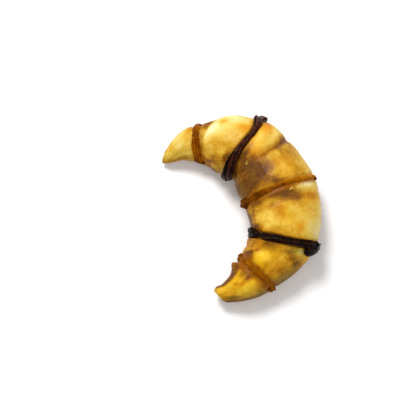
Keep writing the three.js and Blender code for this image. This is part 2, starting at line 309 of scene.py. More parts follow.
# Lumps: angle, reach around, height, widening. Tails: from and to which angle, from and to how many
# millimetres along, width. Nubs: millimetres along, angle, size. Stain: shift, reach and amount.
STRIPS = [USUAL | strip for strip in (
    {"name": "amber_strip_upper", "dark": False, "at": 31.1, "skew": 0.2, "bow": -2.3,
     "half_width": 2.5, "thickness": 1.3, "depth": 1.1, "spread": 1.08, "melt": 0.1, "fray": 0.8,
     "lumps": [(6, 12, 0.8, 0), (174, 9, 0.8, 0), (66, 30, 0.0, -0.5)], "stain": (1.1, 1.0, 1.3),
     "nubs": [(-1, 176, 0.9), (1.6, 171, 0.7), (0.4, 10, 0.7)]},
    {"name": "dark_strip_upper", "dark": True, "at": 63.4, "skew": -1.1, "bow": 2.0, "sway": 2.4,
     "half_width": 1.6, "thickness": 3.0, "depth": 1.4, "melt": 0.24,
     "lumps": [(20, 28, 1.1, 1.0), (146, 30, 1.2, 1.6), (66, 16, -0.4, -0.2)],
     "tails": [(-26, 16, 0, 4.4, 2.1), (194, 162, 0, -3.6, 1.5)]},
    {"name": "amber_strip_middle", "dark": False, "at": 107.5, "skew": -1.5, "bow": 1.4,
     "slide": (-0.5, -0.7), "half_width": 1.6, "thickness": 0.95, "depth": 0.65, "spread": 0.8, "melt": 0.2,
     "pale": 1.1,
     "lumps": [(4, 14, 0.5, 0), (172, 16, 2.2, 0.5), (138, 26, 0.3, 0.9)], "stain": (0.4, 2.0, 1.5),
     "nubs": [(-1.8, 172, 1.5), (0.6, 178, 1.9), (2.4, 170, 1.4), (-2.6, 162, 1.0), (0.2, 8, 0.9)]},
    {"name": "dark_strip_lower", "dark": True, "at": 142.2, "skew": -1.6, "bow": 5.3,
     "half_width": 1.9, "thickness": 3.1, "depth": 1.2,
     "lumps": [(16, 30, 1.4, 0.8), (172, 26, -1.5, 0.2), (128, 9, -1.1, -0.8)],
     "tails": [(5, 37, 1.7, 5.7, 1.8), (162, 139, 0, -1.8, 1.4)]},
    {"name": "amber_strip_lower", "dark": False, "at": 172.9, "skew": -1.2, "bow": 1.8,
     "half_width": 1.7, "thickness": 0.9, "depth": 0.7, "spread": 0.66, "melt": 0.8, "fray": 2.2,
     "lumps": [(4, 12, 2.0, 0.3), (170, 12, 0.7, 0.3), (84, 13, 0.5, 1.3)], "stain": (0.3, 3.0, 1.7),
     "nubs": [(-2.4, 170, 1.0), (-1.4, 177, 1.3), (1.0, 172, 1.2), (2.6, 4, 1.3), (-0.4, 0, 1.2),
              (3.4, 9, 0.8)]},
)]
print(len(STRIPS), "strips at", [strip["at"] for strip in STRIPS], "degrees")

# %% [markdown]
# ## The rule as a node group
# The rule becomes a Geometry Nodes group. It takes a row along the roll, an angle round it and a rise above
# the skin, and gives back the point in space. The skin and every strip use this one group, so they fit each
# other wherever the roll bends or swells.

# %% The skin rule
def girth(tree, along):
    """The section's width as a share of the belly's."""
    share = tree.clamp(along / BEND_ANGLE, 0.002, 0.998)
    width = (share * math.pi).maths("SINE") ** TAPER
    for at, spread, lost in NECKS:
        width = width - hill(along - at, spread) * lost
    return width


def between_strips(tree, row, key):
    """A strip's value, such as its lean, carried over smoothly from one strip to the next."""
    places = [-1.0] + [strip["at"] for strip in STRIPS] + [LOWER_END + 1]
    values = [0.0] + [strip[key] for strip in STRIPS] + [LOWER_END_LEAN[key]]
    total = row * 0.0
    for k in range(len(places) - 1):
        if values[k + 1] != values[k]:
            total = total + tree.smooth(places[k], places[k + 1], row) * (values[k + 1] - values[k])
    return total


def folds_and_swellings(tree, row, angle, across, up):
    total = across * 0.0
    for at, lean, bow, depth, spread, middle, around in CREASES:
        away = row - at - across * lean - up * bow
        total = total - hill(away, spread) * hill(turn_between(angle, middle), around) * depth
    return with_spots(tree, total, row, angle, SWELLINGS)


def skin_rule():
    inputs = {"Row": 0.0, "Angle": 0.0, "Rise": 0.0, "Groove filled": 0.0, "Bend radius": BEND_RADIUS,
              "Belly width": BELLY_WIDTH}
    sockets = [(name, "Float", value) for name, value in inputs.items()]
    tree = new_group("skin rule", sockets, [("Position", "Vector")])
    row, angle, rise = tree.start.out("Row"), tree.start.out("Angle"), tree.start.out("Rise")
    bend_radius, belly = tree.start.out("Bend radius"), tree.start.out("Belly width")
    across, up = directions(angle)
    over_top = up.maths("MAXIMUM", 0.0)
    # The place along the bend: rows lean with the strips, and keep their width at a strip.
    stretch = girth(tree, row) * belly * across / 2 / bend_radius + 1
    lean = (between_strips(tree, row, "skew") * across + between_strips(tree, row, "bow") * over_top
            + between_strips(tree, row, "sway") * 2 * over_top * over_top * across)
    kept = row * 0.0
    groove = row * 0.0
    under = tree.smooth(0.1, 0.8, -up)
    for strip in STRIPS:
        away = row - strip["at"]
        kept = kept + away * (1 - tree.smooth(KEPT_NEAR, KEPT_FAR, abs(away)))
        clearance, wall = GROOVE_WALLS[strip["dark"]]
        floor_edge = strip["half_width"] + clearance
        whole = strip["thickness"] + GAP + LIFT_OFF_TABLE
        depth = under * (whole - strip["depth"]) + strip["depth"]
        slide, slide_across = strip["slide"]
        aside = away * MM_PER_DEGREE - slide - across * slide_across
        groove = groove + depth * (1 - tree.smooth(floor_edge, floor_edge + wall, abs(aside)))
    along = (row + lean / (stretch * MM_PER_DEGREE) + kept * (1 / stretch - 1)).maths("MAXIMUM", 0.0)
    # The section there, and how much of it is left where an end closes.
    share = girth(tree, along)
    half_width = share * belly / 2
    half_height = half_width * (share * (BELLY_PLUMPNESS - HORN_PLUMPNESS) + HORN_PLUMPNESS)
    to_upper = 1 - tree.clamp(along / TIP_ROUNDING_UPPER)
    to_lower = 1 - tree.clamp((LOWER_END + LOWER_END_BLUNTNESS - row) / TIP_ROUNDING_LOWER)
    left = (1 - to_upper * to_upper).maths("SQRT") * (1 - to_lower * to_lower).maths("SQRT")
    outward, upward = across * half_height, up * half_width
    length = (outward * outward + upward * upward).maths("SQRT")
    outward, upward = outward / length, upward / length
    # Folds, the flat on the table and the grooves.
    bump = folds_and_swellings(tree, row, angle, across, over_top) * left
    raised = (hill(along, TIP_RAISE_REACH) * TIP_RAISE_UPPER
              + hill(along - BEND_ANGLE, TIP_RAISE_REACH) * TIP_RAISE_LOWER)
    centre = half_height + raised - tree.smooth(0.3, 0.7, share) * SINK
    height = centre + half_height * left * up + bump * upward
    near_table = tree.clamp(height, -FLOOR_SOFTNESS, FLOOR_SOFTNESS) + FLOOR_SOFTNESS
    surface = near_table * near_table / (4 * FLOOR_SOFTNESS) + (height - FLOOR_SOFTNESS).maths("MAXIMUM", 0.0)
    offset = rise - groove * left * (1 - tree.start.out("Groove filled"))
    drift = along * 0.0
    for at, spread, shift in DRIFTS:
        drift = drift + hill(along - at, spread) * shift
    radius = bend_radius + drift + half_width * left * across + (bump + offset) * outward
    bearing = (UPPER_TIP_BEARING - along) * (math.pi / 180)
    position = tree.vector(
        (radius * bearing.maths("COSINE") + BEND_MIDDLE[0]) * MM,
        (radius * bearing.maths("SINE") + BEND_MIDDLE[1]) * MM,
        (surface + offset * upward) * MM)
    tree.add("NodeGroupOutput", {}, {"Position": position})
    return tree.tree


SKIN_RULE = skin_rule()


def on_skin(tree, row, angle, rise=0.0, filled=0.0):
    sockets = {"Row": row, "Angle": angle, "Rise": rise, "Groove filled": filled}
    return tree.add("GeometryNodeGroup", {"node_tree": SKIN_RULE}, sockets)


print("the skin rule has", len(SKIN_RULE.nodes), "nodes")

# %% [markdown]
# ## Turning a node tree into a plain mesh
# A modifier is live: it would be worked out again in every tool that opens the scene. So each tree is run
# once on its start mesh, the result is copied to a mesh of its own, and the modifier goes. Its inputs are set
# by their identifiers, because two sockets may have the same name.

# %% Running a tree
def run_tree(tree, start_mesh, name, **inputs):
    """Runs a Geometry Nodes tree on a mesh and returns the result as a plain mesh."""
    carrier = bpy.data.objects.new("carrier", start_mesh)
    bpy.context.scene.collection.objects.link(carrier)
    modifier = carrier.modifiers.new("shape", "NODES")
    modifier.node_group = tree.tree
    for item in tree.tree.interface.items_tree:
        if item.in_out == "INPUT" and item.name.replace(" ", "_").lower() in inputs:
            modifier[item.identifier] = inputs.pop(item.name.replace(" ", "_").lower())
    assert not inputs, inputs
    bpy.context.view_layer.update()
    evaluated = carrier.evaluated_get(bpy.context.evaluated_depsgraph_get())
    mesh = bpy.data.meshes.new_from_object(evaluated)
    carrier.modifiers.clear()
    bpy.data.objects.remove(carrier)
    mesh.name = name
    return mesh


def show(name, mesh):
    """A finished piece: its object sits at the origin, and its place is in its mesh."""
    piece = bpy.data.objects.new(name, mesh)
    bpy.context.scene.collection.objects.link(piece)
    mesh.calc_loop_triangles()
    points = np.empty(len(mesh.vertices) * 3)
    mesh.vertices.foreach_get("co", points)
    points = points.reshape(-1, 3) / MM
    print(name, len(mesh.loop_triangles), "triangles", points.min(0).round(1), points.max(0).round(1))
    return piece


def finished_end(tree, geometry, material):
    """Realize, shade smooth and give the material, which ends every tree here."""
    real = tree.add("GeometryNodeRealizeInstances", {}, {"Geometry": geometry})
    soft = tree.add("GeometryNodeSetShadeSmooth", {}, {"Geometry": real})
    painted = tree.add("GeometryNodeSetMaterial", {}, {"Geometry": soft, "Material": material})
    tree.add("NodeGroupOutput", {}, {"Geometry": painted})


# %% [markdown]
# ## The net that the skin is drawn on
# The skin starts as a net of rows along the roll and points round each row. Every point only carries its row
# and its angle, and the rule puts it in place. The upper end closes in a point. The lower one is a blunt cut:
# its last rows shrink to a line between its top and its underside.

# %% The net
SIDES = 228
ROW_STEP = 0.52


def skin_net():
    ends = [0.03, 0.1, 0.22, 0.4, 0.65]
    rows = [share * TIP_ROUNDING_UPPER for share in ends]
    rows += list(np.arange(TIP_ROUNDING_UPPER, LOWER_END - TIP_ROUNDING_LOWER, ROW_STEP))
    rows += [LOWER_END - share * TIP_ROUNDING_LOWER for share in reversed(ends)]
    rings = [(row, 1.0) for row in rows] + [(LOWER_END, inset) for inset in (1.0, 0.75, 0.5, 0.25)]
    points = [(0.0, 0.0, 1.0)]
    points += [(row, 360 * k / SIDES, inset) for row, inset in rings for k in range(SIDES)]
    seam = len(points)
    points += [(LOWER_END, 360 * k / SIDES, 0.0) for k in range(SIDES // 2 + 1)]
    faces = []
    for k in range(SIDES):
        beside = (k + 1) % SIDES
        faces.append((0, 1 + k, 1 + beside))
        for ring in range(len(rings) - 1):
            here = 1 + ring * SIDES
            faces.append((here + k, here + SIDES + k, here + SIDES + beside, here + beside))
        last = 1 + (len(rings) - 1) * SIDES
        a, b = (seam + min(j, SIDES - j) for j in (k, k + 1))
        faces.append((last + k, a, b, last + beside) if a != b else (last + k, a, last + beside))
    mesh = bpy.data.meshes.new("net")
    mesh.from_pydata(points, [], faces)
    for number, name in enumerate(("row", "angle", "inset")):
        layer = mesh.attributes.new(name, "FLOAT", "POINT")
        layer.data.foreach_set("value", [point[number] for point in points])
    return mesh


NET = skin_net()
print("the net has", len(NET.vertices), "points and", len(NET.polygons), "faces")

# %% [markdown]
# ## What the skin's surface does
# Baked and dried dough isn't even. It swells softly between its folds, wrinkles lengthwise where it shrank,
# ends in a low ledge where one layer stops on the next, and crumbles at its torn lower end. Each is a height
# above the rule's surface, worked out from a noise and kept to its own region by soft hills.

# %% Folds, wrinkles and torn places
# Ledges: place, lean, bow, height, angle, reach around. Torn places are spots, as the swellings are.
LEDGES = [
    (42, 3, -6.5, 0.25, 90, 70), (78.6, 5, 0, 0.25, 60, 80), (117, -1, 0, 0.3, 70, 50),
    (153, 1, 0, 0.35, 35, 40),
]
TORN = [(197, 150, 9, 30, 1.0), (184, 165, 5, 25, 0.8), (204, 90, 2.5, 300, 0.7), (0, 0, 2.0, 400, 0.25)]
SECTION_RADIUS = 18.0  # millimetres, for patterns that run round the roll


def named(tree, name):
    return tree.add("GeometryNodeInputNamedAttribute", {"data_type": "FLOAT"}, {"Name": name})


def round_coordinate(tree, row, angle, along_step, around_step):
    """Where a point is on the roll, stretched along it, and with no seam round it."""
    across, up = directions(angle)
    size = SECTION_RADIUS / around_step
    return tree.vector(row * (MM_PER_DEGREE / along_step), across * size, up * size)


def surface_height(tree, row, angle, position):
    across, up = directions(angle)
    over_top = up.maths("MAXIMUM", 0.0)
    swells = tree.noise(position, 75.0, 2.0) * tree.start.out("Swell height")
    wrinkles = tree.noise(round_coordinate(tree, row, angle, 13, 2.6), 1.0, 3.0)
    total = swells + wrinkles * tree.start.out("Wrinkle height")
    for at, lean, bow, height, middle, around in LEDGES:
        away = row - at - across * lean - over_top * bow
        step = (1 - tree.smooth(-0.5, 0.9, away)) * hill(away, 6) * hill(turn_between(angle, middle), around)
        total = total + step * height
    torn = with_spots(tree, 0.0, row, angle, TORN)
    crags = tree.noise(position, 520.0, 3.0, 0.6) + tree.noise(position, 230.0, 1.0)
    return total + crags * torn * tree.start.out("Crag height")


# %% [markdown]
# ## Where the skin is toasted, and where shade is painted on
# The oven browns what stands out or is thin. Browning is painted as soft patches on the rule's own rows and
# angles; some patches, and the darkening under the roll, along the creases and beside the dark strips, are
# painted shade. All is stored on the points, and the material turns the amounts into a colour later. A
# picture could be wrapped on instead, but patches stay sharp at any distance.

# %% Patches of colour
# Each patch: place along, angle, reach along, reach around, amount.
PATCHES = {
    # Toast and shade: browning, and in the dark patches on the inner and lower sides painted shade.
    "toast_and_shade": [
        (1, 90, 2.5, 200, 0.16), (3.5, 20, 1.2, 30, -0.2), (6, 140, 5, 14, 0.16), (6.5, 30, 1, 26, 0.22),
        (8, 145, 3, 10, -0.08), (8.5, 20, 1, 20, -0.12), (10, 44, 3, 14, 0.12), (10, 78, 2.6, 18, 0.14),
        (14, 70, 14, 70, -0.05), (15, 124, 12, 14, 0.1), (16, 162, 14, 14, 0.26),
        (16.5, 35, 3.5, 40, -0.08), (17, 95, 4, 10, -0.1), (18, 131, 5, 9, -0.14), (25.8, 34, 2, 34, 0.18),
        (36, 40, 1.6, 12, 0.12), (36, 73, 2, 9, 0.12), (36.8, 48, 2.4, 16, 0.2), (38, 24, 3.6, 26, 0.16),
        (38, 80, 1.8, 16, -0.15), (38, 122, 3, 16, 0.1), (38, 160, 5, 10, 0.3), (38.6, 50, 1.6, 16, 0.12),
        (39, 27, 4, 9, 0.14), (40, 64, 2.4, 13, -0.24), (40.5, 33, 2, 9, 0.2), (42.5, 28, 2, 10, 0.2),
        (43, 50, 2.2, 20, -0.1), (43, 58, 2, 16, -0.15), (43, 149, 7, 7, 0.34), (44, 24, 5, 12, -0.06),
        (44, 76, 7, 14, -0.12), (44, 136, 3, 9, 0.18), (46, 51, 2.6, 8, 0.16), (46, 178, 10, 9, 0.4),
        (47, 127, 4, 9, 0.1), (50, 104, 10, 10, 0.12), (50.5, 38, 5, 26, -0.18), (51, 138, 7, 9, 0.2),
        (51, 162, 6, 12, 0.06), (57, 63, 4, 8, 0.2), (58, 129, 3, 15, 0.34), (63, 178, 4, 10, 0.2),
        (69, 24, 2.5, 10, 0.25), (69, 88, 2.5, 8, 0.15), (69, 108, 2.6, 12, 0.3), (70, 33, 2.5, 10, 0.15),
        (70.5, 45, 3.4, 14, 0.12), (70.5, 78, 5, 13, -0.18), (71, 78, 5, 12, 0.06), (73, 156, 9, 8, 0.2),
        (74, 122, 9, 12, 0.38), (74, 141, 5, 12, 0.18), (75, 95, 4, 9, 0.1), (75.8, 40, 1.8, 22, -0.14),
        (76, 106, 4, 9, 0.26), (76, 112, 3, 9, -0.2), (80, 78, 1.8, 14, 0.16), (80, 92, 3, 10, 0.12),
        (81.5, 40, 2.2, 26, 0.26), (84, 27, 3, 9, 0.15), (86, 150, 22, 18, 0.46), (88, 93, 7, 9, 0.22),
        (88, 128, 14, 13, 0.36), (88, 172, 20, 12, 0.42), (89, 107, 11, 11, 0.48), (90, 61, 8, 4, 0.1),
        (92, 46, 12, 26, 0.16), (94, 80, 10, 13, 0.13), (96, 72, 4, 8, -0.14), (97, 30, 6, 10, -0.06),
        (97, 44, 6, 10, -0.04), (98, 120, 6, 12, 0.22), (100, 57, 3, 8, 0.1), (100, 172, 5, 10, -0.1),
        (101, 86, 4, 13, -0.02), (102, 97, 3.5, 11, 0.28), (102, 150, 4, 25, 0.22), (104, 86, 2, 9, 0.25),
        (111, 51, 2, 16, -0.16), (111, 128, 2.4, 50, 0.2), (111.5, 50, 2.4, 22, -0.12),
        (112, 104, 3, 12, 0.26), (113, 38, 3.5, 22, -0.07), (113, 134, 2.5, 12, 0.25),
        (113.5, 84, 4.4, 15, 0.36), (116, 130, 4, 12, 0.04), (116.8, 68, 2.6, 8, 0.26),
        (118.3, 42, 1.8, 18, 0.26), (119, 149, 8, 4, 0.24), (120, 111, 3, 9, 0.22),
        (121, 137, 3.5, 10, 0.22), (122, 54, 4, 10, 0.06), (123, 97, 6, 9, 0.18), (124, 38, 4, 12, 0.05),
        (125, 20, 5, 10, -0.1), (125, 158, 10, 5, 0.06), (127, 124, 10, 13, -0.02), (127, 174, 14, 9, 0.4),
        (128, 164, 8, 9, 0.3), (129, 82, 8, 9, 0.04), (131, 148, 5, 8, 0.15), (132, 32, 5, 22, -0.19),
        (132.5, 62, 3, 7, 0.12), (134, 17, 4, 10, -0.14), (134, 161, 6, 9, 0.1), (136, 96, 3, 34, 0.08),
        (136, 120, 3, 9, -0.2), (137.5, 145, 2.5, 22, 0.35), (146.5, 102, 2.4, 9, 0.3),
        (147, 158, 3, 14, 0.12), (148, 39, 2, 8, -0.2), (148, 41, 2.4, 9, -0.2), (148, 48, 3, 18, 0.08),
        (148, 128, 2.5, 8, 0.14), (150, 62, 1.8, 9, 0.26), (150, 92, 5, 18, 0.34), (150, 118, 7, 9, 0.16),
        (153, 44, 1.8, 9, 0.24), (155, 133, 8, 7, 0.22), (155.5, 28, 2, 9, 0.22), (158, 115, 4, 5, 0.22),
        (158, 154, 12, 14, 0.28), (159, 52, 9, 12, 0.14), (160, 76, 6, 6, 0.1), (162, 98, 6, 8, -0.06),
        (163, 16, 9, 22, 0.42), (164, 123, 3.4, 6, 0.4), (166, 74, 4, 9, 0.16), (166, 121, 2.6, 10, 0.1),
        (168, 109, 2.5, 9, 0.15), (168, 137, 2.8, 14, 0.45), (168.5, 126, 2.4, 12, 0.24),
        (172, 116, 4, 14, 0.22), (176, 6, 9, 13, 0.2), (176.5, 60, 1.6, 30, 0.2), (177, 112, 2.4, 20, 0.28),
        (179, 85, 3.4, 7, 0.3), (180, 84, 3, 6, 0.2), (180, 106, 3.5, 10, 0.32), (180, 148, 5, 15, 0.66),
        (180, 162, 4, 14, 0.2), (181, 16, 10, 22, 0.42), (181, 54, 6, 9, 0.02), (182, 101, 3, 8, 0.15),
        (185.5, 79, 2.4, 6, 0.16), (186, 29, 7, 9, -0.14), (186, 153, 7, 12, 0.12), (187, 138, 7, 15, 0.68),
        (188, 102, 8, 7, 0.04), (188, 141, 5, 14, 0.25), (189, 90, 1.8, 7, 0.16), (190, 4, 9, 15, 0.25),
        (190, 150, 5, 8, 0.15), (192, 60, 2.2, 8, 0.14), (192, 142, 6, 14, 0.3), (193, 80, 3, 10, 0.1),
        (194, 122, 4, 9, 0.2), (196, 36, 6, 11, 0.36), (196, 130, 7, 15, 0.68), (196, 145, 6, 12, 0.1),
        (196, 165, 12, 22, 0.5), (199, 12, 9, 14, 0.4), (200, 62, 3, 20, 0.16),
    ],
    "mauve": [
        (37, 30, 3, 30, 0.3), (51, 138, 8, 9, 0.1), (78, 126, 9, 9, 0.6), (81.5, 42, 2.6, 26, 0.8),
        (83, 115, 10, 11, 0.55), (90, 46, 9, 24, 0.35), (92, 103, 11, 13, 0.6), (92, 138, 12, 14, 0.5),
        (114, 82, 4.4, 16, 1.1), (117, 68, 3, 9, 0.8), (119, 149, 8, 5, 0.5), (155, 133, 8, 8, 0.6),
        (179, 84, 3, 7, 0.5), (190, 136, 10, 16, 0.35),
    ],
    # Sallow and shade: an olive tint, and on the outer sides near the table painted shade.
    "sallow_and_shade": [
        (2, 90, 3, 120, 0.5), (14, 80, 14, 70, 0.3), (15, 124, 12, 16, 0.4), (16, 160, 14, 14, 0.5),
        (40, 120, 5, 10, 0.35), (45, 90, 12, 30, 0.15), (51, 163, 7, 13, 0.6), (86, 122, 12, 8, 0.25),
        (90, 160, 20, 14, 0.2), (125, 158, 10, 6, 0.6), (132, 32, 6, 22, 0.5), (148, 48, 3.4, 20, 1.2),
        (163, 18, 9, 20, 0.8), (181, 18, 10, 20, 0.8), (188, 46, 4, 8, 0.5), (196, 28, 7, 14, 0.7),
    ],
    "glow": [
        (10, 78, 2.6, 18, 0.4), (25.8, 40, 2.4, 34, 0.5), (46, 51, 3, 9, 0.55), (57, 63, 4, 9, 1),
        (70.5, 45, 3.4, 15, 1.1), (71, 82, 5, 10, 0.4), (75, 95, 4, 8, 0.8), (95, 62, 6, 6, 0.5),
        (95, 76, 9, 8, 0.4), (118.5, 42, 1.8, 16, 0.5), (123, 97, 6, 9, 0.5), (132.5, 62, 3, 8, 0.6),
        (150, 118, 6, 7, 0.4), (159, 54, 8, 9, 0.3), (172, 95, 5, 30, 0.6), (185, 80, 8, 6, 0.5),
    ],
    "honey": [
        (50, 128, 12, 16, 0.3), (71, 80, 6, 14, 0.35), (90, 128, 16, 26, 0.5), (126, 95, 12, 30, 0.3),
        (126, 160, 16, 20, 0.5), (174, 85, 32, 70, 1.3),
    ],
    "sun": [
        (71, 84, 5, 8, 0.4), (128, 82, 8, 9, 0.3), (154, 84, 7, 14, 0.5), (162, 98, 6.5, 9, 1.4),
        (185, 65, 9, 7, 0.7), (188, 47, 3.5, 8, 1.2), (188, 103, 8, 8, 0.9), (199, 84, 4, 26, 0.5),
    ],
}
TOAST_BASE = 0.36


def patches(tree, row, angle, name):
    """One kind of colour: its patches, and for toast and shade also painted shade under the roll, along the
    creases and beside the dark strips.
    """
    total = with_spots(tree, TOAST_BASE if name == "toast_and_shade" else 0.0, row, angle, PATCHES[name])
    if name != "toast_and_shade":
        return total
    across, up = directions(angle)
    over_top = up.maths("MAXIMUM", 0.0)
    # Painted shade: the skin darker towards the underside of the roll.
    total = total + tree.smooth(-0.4, 0.6, -up) * 0.34
    # Painted shade: a darker line just past each crease.
    for at, lean, bow, depth, spread, middle, around in CREASES:
        away = row - at - 0.6 - across * lean - over_top * bow
        total = total + hill(away, 1.3) * hill(turn_between(angle, middle), around * 0.8) * 0.12
    # Painted shadow: darker skin beside each dark strip, where it rests on the roll.
    for strip in STRIPS:
        if strip["dark"]:
            total = total + hill(row - strip["at"], strip["half_width"] / MM_PER_DEGREE + 1.0) * 0.5
    return total


def syrup(tree, row):
    """How much of an amber strip's colour has run into the skin beside it."""
    total = row * 0.0
    for strip in STRIPS:
        if not strip["dark"]:
            shift, reach, amount = strip["stain"]
            spread = strip["half_width"] / MM_PER_DEGREE + reach
            total = total + hill(row - strip["at"] - shift, spread) * amount
    return total


print({name: len(entries) for name, entries in PATCHES.items()})

# %% [markdown]
# ## The skin's tree
# The net goes in, the rule puts every point in place, the heights push it along its normal, and the amounts
# of colour are stored as attributes. Its sizes are inputs, so a learner can open the tree and turn them.

# %% The tree of the skin
def store(tree, geometry, name, value):
    return tree.add("GeometryNodeStoreNamedAttribute", {"data_type": "FLOAT", "domain": "POINT"},
                    {"Geometry": geometry, "Name": name, "Value": value})


def put(tree, geometry, place):
    return tree.add("GeometryNodeSetPosition", {}, {"Geometry": geometry, "Position": place})


def store_all(tree, geometry, values):
    """Stores values on the points. A value is worked out where it is used, so this comes before they move."""
    for name, value in values.items():
        geometry = store(tree, geometry, name, value)
    return geometry


def point_place(tree):
    return tree.add("GeometryNodeInputPosition")


def push_out(tree, geometry, height):
    """Moves points along their normals by a height in millimetres, but none below the table."""
    moved = tree.vector_maths("SCALE", tree.add("GeometryNodeInputNormal"))
    tree.tree.links.new((height * MM).socket, moved.node.inputs["Scale"])
    target = tree.vector_maths("ADD", point_place(tree), moved)
    return put(tree, geometry, tree.vector_maths("MAXIMUM", target, (-10.0, -10.0, 0.0)))


def skin_tree():
    tree = new_group("roll skin", [
        ("Geometry", "Geometry", None), ("Swell height", "Float", 0.28), ("Wrinkle height", "Float", 0.16),
        ("Crag height", "Float", 0.3), ("Material", "Material", None),
    ], [("Geometry", "Geometry")])
    row, angle, inset = named(tree, "row"), named(tree, "angle"), named(tree, "inset")
    ring_point, mirrored = on_skin(tree, row, angle), on_skin(tree, row, -angle)
    place = tree.add("ShaderNodeMix", {"data_type": "VECTOR"}, {
        "Factor_Float": (1 - inset) * 0.5, "A_Vector": ring_point, "B_Vector": mirrored}, "Result_Vector")
    shaped = put(tree, tree.start.out("Geometry"), place)
    position = point_place(tree)
    lift = tree.add("ShaderNodeSeparateXYZ", {}, {"Vector": position}).out("Z")
    height = surface_height(tree, row, angle, position) * tree.smooth(0.0, 0.003, lift)
    shaped = push_out(tree, shaped, height)
    for name in PATCHES:
        shaped = store(tree, shaped, name, patches(tree, row, angle, name))
    shaped = store(tree, shaped, "syrup", syrup(tree, row))
    streak = tree.noise(round_coordinate(tree, row, angle, 9, 1.6), 1.0, 3.0, 0.65)
    shaped = store(tree, shaped, "streak", streak)
    finished_end(tree, shaped, tree.start.out("Material"))
    return tree


SKIN_TREE = skin_tree()
print("the skin's tree has", len(SKIN_TREE.tree.nodes), "nodes")

# %% [markdown]
# ## The crust's finish
# The skin is waxy and a little see-through, so light sinks in and comes back warm. Its colour runs from cream
# through gold to dark brown with the toast and shade amount, which is browning and painted shade together,
# and fine mottling breaks it up. Honey, glow, sun, mauve and an olive tint are thin paints over it, each with
# its own patches; the olive tint is in places painted shade. Pores and hair-fine wrinkles are too small to
# model and are left to a bump. Gloss comes from a thin coat.

# %% Crust material
CRUST_STOPS = [
    (0.0, (250, 240, 190)), (0.15, (246, 222, 146)), (0.3, (233, 196, 88)), (0.45, (208, 156, 40)),
    (0.6, (168, 112, 18)), (0.75, (122, 75, 15)), (0.9, (80, 44, 14)), (1.0, (48, 26, 10)),
]
HONEY_FILTER = (1.0, 0.9, 0.12, 1.0)  # takes the blue out of what is under it


def new_material(name):
    material = bpy.data.materials.new(name)
    material.use_nodes = True
    tree = Tree(material.node_tree)
    tree.tree.nodes.clear()
    return material, tree


def amount(tree, name):
    return tree.add("ShaderNodeAttribute", {"attribute_name": name}, {}, "Fac")


def mix(tree, base, factor, colour, blend="MIX"):
    return tree.add("ShaderNodeMix", {"data_type": "RGBA", "blend_type": blend}, {
        "Factor_Float": tree.clamp(factor), "A_Color": base, "B_Color": colour}, "Result_Color")


def tint(tree, base, factor, colour):
    """Mixes a paint over a colour."""
    return mix(tree, base, factor, paint(*colour))


def bumped(tree, height, strength, distance):
    return tree.add("ShaderNodeBump", {}, {"Strength": strength, "Distance": distance, "Height": height})


def shader_end(tree, settings):
    shader = tree.add("ShaderNodeBsdfPrincipled", {}, settings)
    tree.add("ShaderNodeOutputMaterial", {}, {"Surface": shader})


def crust_material():
    material, tree = new_material("crust")
    place = tree.add("ShaderNodeTexCoord").out("Object")
    mottle = tree.noise(place, 150.0, 5.0, 0.72)
    freckle = tree.noise(place, 560.0, 3.0, 0.65)
    # Toast and shade: browning together with painted shade.
    toast_and_shade = tree.clamp(amount(tree, "toast_and_shade"), 0.0, 0.8)
    honey = amount(tree, "honey")
    uneven = mottle * (0.19 + honey * 0.07) + amount(tree, "streak") * 0.04 + freckle * 0.07
    toast_and_shade = toast_and_shade + uneven * (toast_and_shade * 0.9 + 0.5)
    colour = tree.add("ShaderNodeValToRGB", {"stops": CRUST_STOPS}, {"Fac": toast_and_shade}, "Color")
    colour = mix(tree, colour, honey * 0.7, HONEY_FILTER, "MULTIPLY")
    colour = tint(tree, colour, amount(tree, "glow") * (0.5 + mottle * 0.3), (248, 158, 12))
    colour = tint(tree, colour, amount(tree, "sun") * (0.45 + mottle * 0.4), (246, 196, 16))
    # An olive tint, which on the outer sides near the table is painted shade.
    colour = tint(tree, colour, amount(tree, "sallow_and_shade") * (0.5 + freckle * 0.2), (150, 136, 40))
    colour = tint(tree, colour, amount(tree, "mauve") * (0.45 + freckle * 0.4 + mottle * 0.5), (106, 64, 34))
    colour = tint(tree, colour, amount(tree, "syrup") - 0.3 + mottle * 0.5, (142, 80, 0))
    pores = tree.noise(place, 900.0, 2.0, 0.6)
    creping = tree.noise(tree.vector_maths("MULTIPLY", place, (1.0, 1.0, 0.6)), 330.0, 3.0, 0.65)
    shader_end(tree, {
        "Base Color": colour, "Roughness": tree.clamp(0.38 + freckle * 0.06, 0.2, 0.6),
        "Normal": bumped(tree, pores * 0.35 + creping, 0.35, 0.6 * MM),
        "Subsurface Weight": 0.12, "Subsurface Radius": (0.003, 0.0014, 0.0005), "Subsurface Scale": 1.0,
        "Coat Weight": 0.04, "Coat Roughness": 0.12, "Specular IOR Level": 0.06,
    })
    return material


CRUST = crust_material()
skin_mesh = run_tree(SKIN_TREE, NET, "roll_skin", material=CRUST)
roll_skin = show("roll_skin", skin_mesh)

# %% [markdown]
# ## A strip that is wound round the roll
# The real strips are chewy bands, pulled round the roll while soft. The dark ones are thick and look like a
# few strands side by side, the amber ones are thin with a frilled edge. Each is a band whose section is swept
# once round the skin, so it is a job for a tree: a grid is bent by the skin rule, its one side running round
# the roll and its other side round the section. Ribs are waves of the section that wander slowly as it goes.
# The strands and edges that the finish shows later are stored while the grid is still flat, because a value
# is worked out where it is used.

